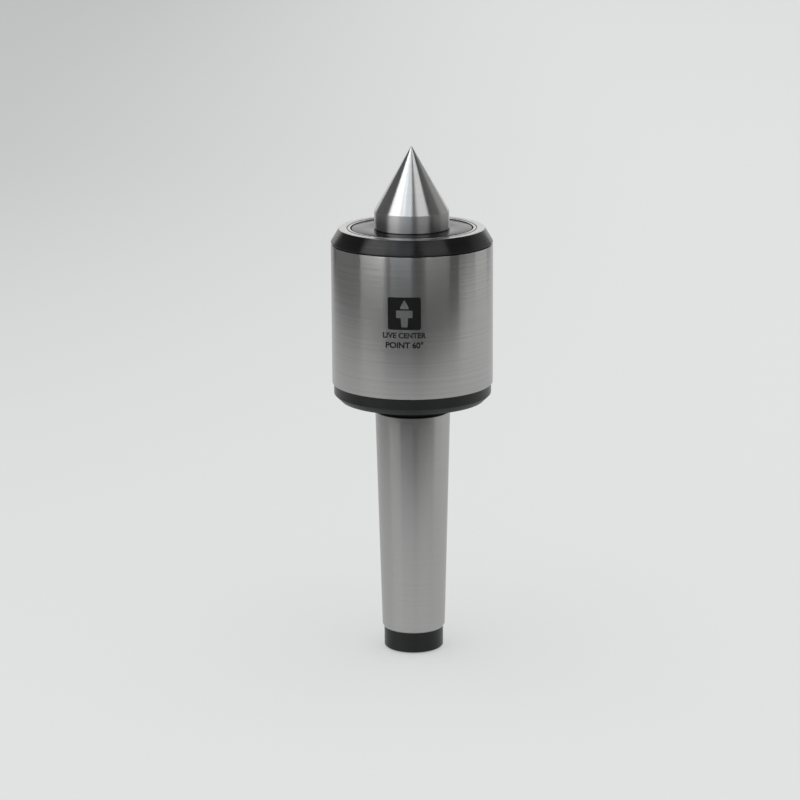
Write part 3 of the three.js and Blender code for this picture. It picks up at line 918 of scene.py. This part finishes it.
class LIVECENTER_OT_cap(Operator):
    """Turn the front cap, with its ground face, and lay the O-ring in its groove"""

    bl_idname = "livecenter.cap"
    bl_label = "Front Cap and O-Ring"

    def execute(self, context):
        s = context.scene.live_center_cap
        groove_floor = s.top - s.ring_depth
        seam_bevel = 0.35 * MM
        outline = [
            *stepped(s.lip_radius, s.bottom, s.spigot_radius, s.groove_bottom, s.groove_radius, s.groove_top),
            (s.spigot_radius, s.groove_top),
            (s.spigot_radius, s.flange_bottom),
            (s.radius - seam_bevel, s.flange_bottom),
            (s.radius, s.corner),
            *stepped(s.face_radius, s.top, s.ring_outer, groove_floor, s.ring_inner, s.top, s.mouth_radius),
            *stepped(s.mouth_radius, s.floor, s.seal_radius, s.seal_floor, s.lip_radius),
        ]
        cap = turned("Front_Cap", outline, edge=0.12 * MM, steps=STEPS)
        assign(cap, finish("Black Oxide"), finish("Ground Face"), finish("Bored Steel"))
        ground, bored = 1, 2
        paint(cap, ground, lambda r, z: z > s.top - 1.6 * SKIN and r < s.face_radius + 2 * SKIN)
        paint(cap, bored, lambda r, z: z < s.flange_bottom)
        place(cap, "housing", "black_oxide", "front_cap")

        middle = ((s.groove_radius + s.spigot_radius) / 2, (s.groove_bottom + s.groove_top) / 2)
        section = arc(middle, s.o_ring_radius, 0, 337.5, 15)
        ring = turned("Cap_O_Ring", section, edge=0)
        finished(ring, "Seal Rubber", "housing", "seal_rubber", "cap_o_ring")
        return {"FINISHED"}


class LIVECENTER_OT_spindle(Operator):
    """Turn and grind the spindle with its sixty degree point, and the slinger disc under it"""

    bl_idname = "livecenter.spindle"
    bl_label = "Spindle and Slinger"

    def execute(self, context):
        s = context.scene.live_center_spindle
        land_top = s.tip - s.point_radius / math.tan(POINT_HALF_ANGLE)
        clearance = 0.12 * MM
        land_bottom = s.slinger_top + clearance
        nose_drop = s.tip_radius / math.tan(POINT_HALF_ANGLE)
        end_chamfer = 0.8 * MM
        outline = [
            (0, s.bottom),
            (s.needle_radius - end_chamfer, s.bottom),
            (s.needle_radius, s.bottom + end_chamfer),
            *stepped(s.needle_radius, s.thrust_bottom, s.thrust_radius, s.journal_bottom, s.journal_radius),
            *stepped(s.journal_radius, s.collar_bottom, s.collar_radius, land_bottom, s.point_radius),
            (s.point_radius, land_top),
            (s.tip_radius, s.tip - nose_drop),
            (s.tip_radius * 0.5, s.tip - nose_drop * 0.3),
            (0, s.tip),
        ]
        spindle = turned("Spindle_Point", outline, edge=0.08 * MM, steps=STEPS)
        assign(spindle, finish("Point Steel"), finish("Plain Steel"), finish("Land Steel"))
        plain, land = 1, 2
        paint(spindle, land, lambda r, z: z < land_top)
        paint(spindle, plain, lambda r, z: z < land_bottom)
        place(spindle, "spindle", "point_steel", "spindle_point")

        bore = s.collar_radius + 0.15 * MM
        disc = plain_ring(bore, s.slinger_radius, s.slinger_bottom, s.slinger_top)
        slinger = turned("Slinger_Disc", disc, edge=0.25 * MM, steps=STEPS)
        finished(slinger, "Black Slinger", "spindle", "black_oxide", "slinger_disc")
        return {"FINISHED"}


class LIVECENTER_OT_seal(Operator):
    """Press the shaft seal: its steel case, its rubber lip, and the garter spring round the lip"""

    bl_idname = "livecenter.seal"
    bl_label = "Shaft Seal"

    def execute(self, context):
        s = context.scene.live_center_seal
        radius, bottom, top = extent("shaft_seal_case")
        inside = radius - s.wall
        case_outline = stepped(inside, bottom, radius, top, s.mouth, top - s.wall, inside)
        case = turned("Shaft_Seal_Case", case_outline, edge=0.35 * MM)
        finished(case, "Plain Steel", "housing", "plain_steel", "shaft_seal_case")

        lip = turned("Shaft_Seal_Lip", [(r * MM, z * MM) for r, z in LIP_SECTION], edge=0.12 * MM)
        finished(lip, "Seal Rubber", "housing", "seal_rubber", "shaft_seal_lip")

        deselect()
        bpy.ops.mesh.primitive_circle_add(vertices=6, radius=s.wire_radius)
        coil = name_new("Garter_Spring")
        edit_mode()
        bpy.ops.transform.translate(value=(s.coil_radius, 0, 0))
        bpy.ops.mesh.spin(steps=12, angle=FULL_TURN, center=(0, 0, 0), axis=(0, 1, 0))
        object_mode()
        clean(coil)
        shifted(coil, s.spring_radius, s.spring_height, Matrix.Rotation(s.coil_slant, 4, "X"))
        spring = ring_of(coil, s.coils)
        finished(spring, "Plain Steel", "housing", "plain_steel", "garter_spring")
        return {"FINISHED"}


class LIVECENTER_OT_contact_bearings(Operator):
    """Grind the rings of both angular contact bearings, cut their brass cages, and set their balls"""

    bl_idname = "livecenter.contact_bearings"
    bl_label = "Angular Contact Bearings"

    def execute(self, context):
        s = context.scene.live_center_bearings
        outer_radius, bottom, top = extent("front_bearing_outer_ring")
        half = (top - bottom) / 2
        span = math.degrees(math.acos((s.pitch_radius - s.inner_shoulder) / s.groove_radius))
        inner_outline = [
            (s.bore_radius, -half),
            (s.inner_shoulder, -half),
            *arc((s.pitch_radius, 0), s.groove_radius, 180 + span, 180 - span, RACE_STEPS),
            (s.inner_shoulder, half),
            (s.bore_radius, half),
        ]
        outer_outline = [
            (s.outer_shoulder, -half),
            (outer_radius, -half),
            (outer_radius, half),
            (s.outer_shoulder, half),
            *arc((s.pitch_radius, 0), s.groove_radius, span, -span, RACE_STEPS),
        ]
        inner_ring = turned("Inner_Ring", inner_outline, edge=0.2 * MM)
        outer_ring = turned("Outer_Ring", outer_outline, edge=0.2 * MM)
        for ring in (inner_ring, outer_ring):
            assign(ring, finish("Bearing Steel"))
        cage_outline = plain_ring(s.cage_inner, s.cage_outer, -s.cage_half_width, s.cage_half_width)
        cage = turned("Cage", cage_outline, edge=0.15 * MM)
        sideways = Matrix.Rotation(math.radians(90), 4, "Y")
        pocket = drill(s.pocket_radius, s.ball_radius * 2, s.pitch_radius, 0, sideways)
        cut(cage, ring_of(pocket, s.ball_count))
        assign(cage, finish("Cage Brass"))
        pattern = shifted(ball("Ball", s.ball_radius), s.pitch_radius, 0)
        assign(pattern, finish("Ball Steel"))

        for row in ("front", "middle"):
            lift = middle_of(f"{row}_bearing_outer_ring").z
            title = row.title()
            twin = copy_of(inner_ring, f"{title}_Bearing_Inner_Ring", lift=lift)
            place(twin, "spindle", "bearing_steel", f"{row}_bearing_inner_ring")
            twin = copy_of(outer_ring, f"{title}_Bearing_Outer_Ring", lift=lift)
            place(twin, "housing", "bearing_steel", f"{row}_bearing_outer_ring")
            twin = copy_of(cage, f"{title}_Bearing_Cage", lift=lift)
            place(twin, f"{row}_cage", "cage_brass", f"{row}_bearing_cage")
            set_balls(pattern, row, s.ball_count)
        for template in (inner_ring, outer_ring, cage, pattern):
            bpy.data.objects.remove(template)
        return {"FINISHED"}


class LIVECENTER_OT_thrust_bearing(Operator):
    """Grind the washers of the thrust bearing, pierce its cage, and set its balls"""

    bl_idname = "livecenter.thrust_bearing"
    bl_label = "Thrust Bearing"

    def execute(self, context):
        s = context.scene.live_center_bearings
        middle = middle_of("thrust_bearing_cage").z
        radius, bottom, top = extent("thrust_shaft_washer")
        span = math.degrees(math.asin((bottom - middle) / s.thrust_groove))
        centre = (s.thrust_pitch, middle)
        shaft_outline = [
            (s.thrust_bore, bottom),
            *arc(centre, s.thrust_groove, 180 - span, span, RACE_STEPS),
            (radius, bottom),
            (radius, top),
            (s.thrust_bore, top),
        ]
        shaft_washer = turned("Thrust_Shaft_Washer", shaft_outline, edge=0.2 * MM)
        finished(shaft_washer, "Bearing Steel", "spindle", "bearing_steel", "thrust_shaft_washer")

        radius, bottom, top = extent("thrust_housing_washer")
        bore = s.thrust_bore + 0.45 * MM
        housing_outline = [
            (bore, bottom),
            (radius, bottom),
            (radius, top),
            *arc(centre, s.thrust_groove, -span, span - 180, RACE_STEPS),
            (bore, top),
        ]
        housing_washer = turned("Thrust_Housing_Washer", housing_outline, edge=0.2 * MM)
        finished(housing_washer, "Bearing Steel", "housing", "bearing_steel", "thrust_housing_washer")

        radius, bottom, top = extent("thrust_bearing_cage")
        cage = turned("Thrust_Bearing_Cage", plain_ring(s.thrust_cage_inner, radius, bottom, top))
        pocket = drill(s.thrust_pocket, s.thrust_ball * 2, s.thrust_pitch, middle)
        cut(cage, ring_of(pocket, s.ball_count))
        finished(cage, "Cage Brass", "thrust_cage", "cage_brass", "thrust_bearing_cage")

        pattern = shifted(ball("Thrust_Ball", s.thrust_ball), s.thrust_pitch, 0)
        assign(pattern, finish("Ball Steel"))
        set_balls(pattern, "thrust", s.ball_count)
        bpy.data.objects.remove(pattern)
        return {"FINISHED"}


class LIVECENTER_OT_needle_bearing(Operator):
    """Draw the cup of the needle bearing, pierce its cage, and lay its needles"""

    bl_idname = "livecenter.needle_bearing"
    bl_label = "Needle Bearing"

    def execute(self, context):
        s = context.scene.live_center_bearings
        radius, bottom, top = extent("needle_bearing_cup")
        inside = radius - s.cup_wall
        outside = stepped(s.cup_lip, bottom, radius, top, s.cup_lip)
        cup_outline = outside + stepped(s.cup_lip, top - s.cup_wall, inside, bottom + s.cup_wall, s.cup_lip)
        cup = turned("Needle_Bearing_Cup", cup_outline, edge=0.3 * MM)
        finished(cup, "Bearing Steel", "housing", "bearing_steel", "needle_bearing_cup")

        middle = (bottom + top) / 2
        bar = 0.9 * MM
        half = s.needle_length / 2 + bar
        wall = 0.5 * MM
        play = 0.1 * MM
        cage_outline = plain_ring(s.needle_pitch - wall, s.needle_pitch + wall, middle - half, middle + half)
        cage = turned("Needle_Cage", cage_outline, edge=0.12 * MM)
        width = 2 * s.needle_radius + play
        window = block(4 * wall, width, s.needle_length + play, s.needle_pitch, middle)
        cut(cage, ring_of(window, s.needle_count))
        finished(cage, "Plain Steel", "needle_cage", "plain_steel", "needle_roller_cage")

        half = s.needle_length / 2
        needle_outline = chamfered(0, s.needle_radius, -half, half, 0.3 * MM)
        needle = turned("Needle_Rollers", needle_outline, edge=0.1 * MM, steps=24)
        shifted(needle, s.needle_pitch, middle)
        needles = ring_of(needle, s.needle_count)
        finished(needles, "Bearing Steel", "needle_cage", "bearing_steel", "needle_roller_cage")
        return {"FINISHED"}


class LIVECENTER_OT_clamping(Operator):
    """Turn the spacers, roll the wave washer, and cut the lock nut and its tab washer"""

    bl_idname = "livecenter.clamping"
    bl_label = "Spacers, Washers and Nut"

    def execute(self, context):
        s = context.scene.live_center_clamping
        bore = context.scene.live_center_bearings.bore_radius
        spacers = (("Outer_Spacer", s.spacer_bore, "housing"), ("Inner_Spacer", bore, "spindle"))
        for name, inner, body in spacers:
            radius, bottom, top = extent(name.lower())
            spacer = turned(name, plain_ring(inner, radius, bottom, top), edge=0.3 * MM)
            finished(spacer, "Plain Steel", body, "plain_steel", name.lower())

        radius = extent("wave_washer")[0]
        middle = middle_of("wave_washer").z
        half = s.wave_thickness / 2
        strip = plain_ring(s.wave_bore, radius, middle - half, middle + half)
        washer = turned("Wave_Washer", strip, edge=0.06 * MM)
        for i in range(INNER_STEPS):
            angle = FULL_TURN * i / INNER_STEPS
            ray = Vector((math.cos(angle), math.sin(angle), 0))
            select_vertices(washer, lambda spot: spot.dot(ray) > spot.to_2d().length * 0.9999)
            bpy.ops.transform.translate(value=(0, 0, s.wave_height * math.cos(s.waves * angle)))
        object_mode()
        clean(washer)
        finished(washer, "Plain Steel", "housing", "plain_steel", "wave_washer")

        radius, bottom, top = extent("lock_nut")
        nut = turned("Lock_Nut", chamfered(bore, radius, bottom, top, 0.8 * MM))
        slot = block(2 * s.slot_depth, s.slot_width, 2 * (top - bottom), radius, (bottom + top) / 2)
        cut(nut, ring_of(slot, s.slots))
        softened(nut, 0.12 * MM)
        finished(nut, "Plain Steel", "spindle", "plain_steel", "lock_nut")

        radius, bottom, top = extent("lock_washer")
        washer = turned("Lock_Washer", plain_ring(bore, radius, bottom, top), edge=0.1 * MM)
        notch = block(2 * s.notch_depth, s.notch_width, 4 * (top - bottom), radius, (bottom + top) / 2)
        cut(washer, ring_of(notch, s.notches))
        finished(washer, "Plain Steel", "spindle", "plain_steel", "lock_washer")
        return {"FINISHED"}


class LIVECENTER_OT_mark(Operator):
    """Etch the generic mark: a square with a picture of a live center left bare, and two lines under it"""

    bl_idname = "livecenter.mark"
    bl_label = "Etched Mark"

    def execute(self, context):
        s = context.scene.live_center_mark
        half = s.plate_width / 2
        corners_xz = [(-half, -half), (half, -half), (half, half), (-half, half)]
        plate = filled(drawn("Plate", corners_xz), s.corner_radius)
        for part in PICTURE:
            outline = [(x * half, z * half) for x, z in part]
            cut(plate, filled(drawn("Picture", outline), 0))
        shifted(plate, 0, s.plate_height)
        first = lettering(s.first_line, s.first_line_width, s.first_line_height, s.line_weight)
        second = lettering(s.second_line, s.second_line_width, s.second_line_height, s.line_weight)
        mark = joined("Etched_Mark", [plate, first, second])
        shifted(mark, -s.offset, 0)
        select_faces(mark, lambda polygon: polygon.normal.y > -0.5)
        bpy.ops.mesh.delete(type="FACE")
        wrap_round(mark, bpy.data.objects["Shank_Housing"], s.strip_width, s.relief)
        finished(mark, "Etched Mark", "housing", "black_oxide")
        return {"FINISHED"}


# ---------------------------------------------------------------- studio


def aimed(location, target):
    """Rotation that points an object's -Z axis from its location at the target."""
    return (Vector(target) - Vector(location)).to_track_quat("-Z", "Y").to_euler()


def softbox(name, azimuth, elevation, distance, width, height, radiance, tint=(1, 1, 1), reflects=True):
    """An area light seen from the object at that azimuth (0 is the camera's side) and elevation."""
    target = Vector((0, 0, 0.12))
    level = distance * math.cos(math.radians(elevation))
    rise = distance * math.sin(math.radians(elevation))
    turn = math.radians(azimuth)
    location = target + Vector((level * math.sin(turn), -level * math.cos(turn), rise))
    deselect()
    bpy.ops.object.light_add(type="AREA", location=location, rotation=aimed(location, target))
    light = bpy.context.active_object
    light.name = light.data.name = name
    light.data.shape = "RECTANGLE"
    light.data.size, light.data.size_y = width, height
    light.data.energy = radiance * math.pi * width * height
    light.data.color = tint
    light.visible_camera = False
    light.visible_diffuse = not reflects
    light.visible_glossy = reflects
    return light


def panel(name, first, last, low, high, radiance, tint):
    """A softbox that the metal alone sees, from one azimuth to another and one elevation to another."""
    distance = 5
    spread = 2 * distance * math.cos(math.radians((low + high) / 2))
    width = spread * math.tan(math.radians(last - first) / 2)
    height = 2 * distance * math.tan(math.radians(high - low) / 2)
    return softbox(name, (first + last) / 2, (low + high) / 2, distance, width, height, radiance, tint)


def sheet(name, height, side, base):
    """A flat square sheet of pale paper."""
    deselect()
    bpy.ops.mesh.primitive_plane_add(size=1)
    piece = name_new(name)
    edit_mode()
    bpy.ops.transform.resize(value=(side, side, 1))
    bpy.ops.transform.translate(value=(0, 0, height))
    object_mode()
    material, tree, shader = new_material(name)
    fibre = noise(tree, object_place(tree), 300, 2)
    tinted(tree, shader, base, fibre, (0.995, 1.005))
    shader.inputs["Roughness"].default_value = 0.9
    shader.inputs["Specular IOR Level"].default_value = 0.0
    assign(piece, material)
    piece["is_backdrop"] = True
    return piece


def fading(tree, axis, start, end):
    """Rises smoothly from 0 to 1 between two places along an axis."""
    spot = add(tree, "ShaderNodeSeparateXYZ", {0: object_place(tree)})
    inputs = {"Value": spot.outputs[axis], "From Min": start, "From Max": end}
    fade = add(tree, "ShaderNodeMapRange", inputs, interpolation_type="SMOOTHSTEP")
    return fade.outputs["Result"]


def light_up(piece, glow, edge_glow, *fades):
    """Makes a sheet glow as if lit from below, a painted light: one glow where its fades are 1, another where
    they are 0.
    """
    tree = piece.data.materials[0].node_tree
    shader = tree.nodes["Principled BSDF"]
    both = number(tree, "MULTIPLY", *(fading(tree, *fade) for fade in fades))
    strength = add(tree, "ShaderNodeMapRange", {"Value": both, "To Min": edge_glow, "To Max": glow})
    shader.inputs["Emission Color"].default_value = (0.99, 1, 0.998, 1)
    tree.links.new(strength.outputs["Result"], shader.inputs["Emission Strength"])


def light_room(settings):
    """A pale backdrop to look at, an even light on the floor, and a dark room in the metal."""
    world = bpy.data.worlds.new("Room")
    bpy.context.scene.world = world
    world.use_nodes = True
    tree = world.node_tree
    ray = add(tree, "ShaderNodeLightPath").outputs
    lights = {"Factor": ray["Is Glossy Ray"], 2: settings.room_light, 3: settings.room_reflection}
    light = add(tree, "ShaderNodeMix", lights, data_type="FLOAT").outputs[0]
    grey = add(tree, "ShaderNodeCombineColor", {0: light, 1: light, 2: light}).outputs[0]
    views = {"Factor": ray["Is Camera Ray"], "A": grey, "B": (*settings.backdrop, 1)}
    shown = add(tree, "ShaderNodeMix", views, data_type="RGBA").outputs["Result"]
    tree.links.new(shown, tree.nodes["Background"].inputs["Color"])


def add_camera(settings):
    yaw, tilt, roll = settings.camera_yaw, settings.camera_tilt, settings.camera_roll
    ahead = Vector((math.sin(yaw), math.cos(yaw), 0))
    level_right = Vector((math.cos(yaw), -math.sin(yaw), 0))
    view = ahead * math.cos(tilt) - Vector((0, 0, math.sin(tilt)))
    level_up = level_right.cross(view)
    right = level_right * math.cos(roll) + level_up * math.sin(roll)
    up = level_up * math.cos(roll) - level_right * math.sin(roll)
    turn = Matrix((right, up, -view)).transposed().to_euler()
    deselect()
    location = (0, -settings.camera_distance, settings.camera_height)
    bpy.ops.object.camera_add(location=location, rotation=turn)
    camera = bpy.context.active_object
    camera.name = "Camera"
    camera.data.lens = settings.lens
    camera.data.clip_end = 100
    bpy.context.scene.camera = camera


class LIVECENTER_OT_stage(Operator):
    """Lay the floor and set the lights and the camera"""

    bl_idname = "livecenter.stage"
    bl_label = "Studio"

    def execute(self, context):
        settings = context.scene.live_center_studio
        floor = sheet("Floor", -0.5 * MM, 24, settings.floor_colour)
        # painted light: the floor's glow thins the shadows round the base and is weaker at the back on the
        # left, a painted falloff of the light
        light_up(floor, settings.far_glow, settings.floor_glow, ("Y", -0.3, 1.5), ("X", 0.25, -0.55))
        floor.visible_glossy = False
        # painted reflection: a sheet seen only in the metal, black where the table is unlit and glowing where
        # the lit table shows
        table = sheet("Table", -0.2 * MM, 8, settings.table_colour)
        light_up(table, settings.table_glow, 0, ("Y", -0.6, -0.24), ("X", -1.8, -0.1))
        table.visible_camera = table.visible_diffuse = table.visible_shadow = False
        softbox("Overhead", 0, 88, distance=4, width=5, height=5, radiance=0.62, reflects=False)
        for name, setting in PANELS.items():
            panel(name, *setting)
        light_room(settings)
        add_camera(settings)
        context.scene.view_settings.view_transform = "Standard"
        return {"FINISHED"}


class LIVECENTER_PT_panel(Panel):
    """Sizes, finishes and pieces of the live center"""

    bl_label = "Live Center"
    bl_idname = "LIVECENTER_PT_panel"
    bl_space_type = "VIEW_3D"
    bl_region_type = "UI"
    bl_category = "Live Center"

    def draw(self, context):
        for group_name in PROPERTY_GROUPS:
            box = self.layout.box()
            group = getattr(context.scene, group_name)
            for key in group.__annotations__:
                box.prop(group, key)
        for operator in OPERATORS:
            self.layout.operator(operator.bl_idname)


PROPERTY_GROUPS = {
    "live_center_housing": HousingSizes,
    "live_center_cap": CapSizes,
    "live_center_spindle": SpindleSizes,
    "live_center_bearings": BearingSizes,
    "live_center_clamping": ClampSizes,
    "live_center_seal": SealSizes,
    "live_center_mark": MarkSizes,
    "live_center_finishes": Finishes,
    "live_center_studio": StudioSettings,
}

OPERATORS = (
    LIVECENTER_OT_stage,
    LIVECENTER_OT_housing,
    LIVECENTER_OT_cap,
    LIVECENTER_OT_spindle,
    LIVECENTER_OT_seal,
    LIVECENTER_OT_contact_bearings,
    LIVECENTER_OT_thrust_bearing,
    LIVECENTER_OT_needle_bearing,
    LIVECENTER_OT_clamping,
    LIVECENTER_OT_mark,
)


def register():
    for group_name, group in PROPERTY_GROUPS.items():
        bpy.utils.register_class(labelled(group))
        setattr(bpy.types.Scene, group_name, PointerProperty(type=group))
    for operator in OPERATORS:
        bpy.utils.register_class(operator)
    bpy.utils.register_class(LIVECENTER_PT_panel)


def unregister():
    bpy.utils.unregister_class(LIVECENTER_PT_panel)
    for operator in reversed(OPERATORS):
        bpy.utils.unregister_class(operator)
    for group_name, group in reversed(PROPERTY_GROUPS.items()):
        delattr(bpy.types.Scene, group_name)
        bpy.utils.unregister_class(group)


def corners(box):
    return [list(corner) for corner in box]


def main():
    register()
    for operator in OPERATORS:
        category, name = operator.bl_idname.split(".")
        getattr(getattr(bpy.ops, category), name)()


if __name__ == "__main__":
    main()
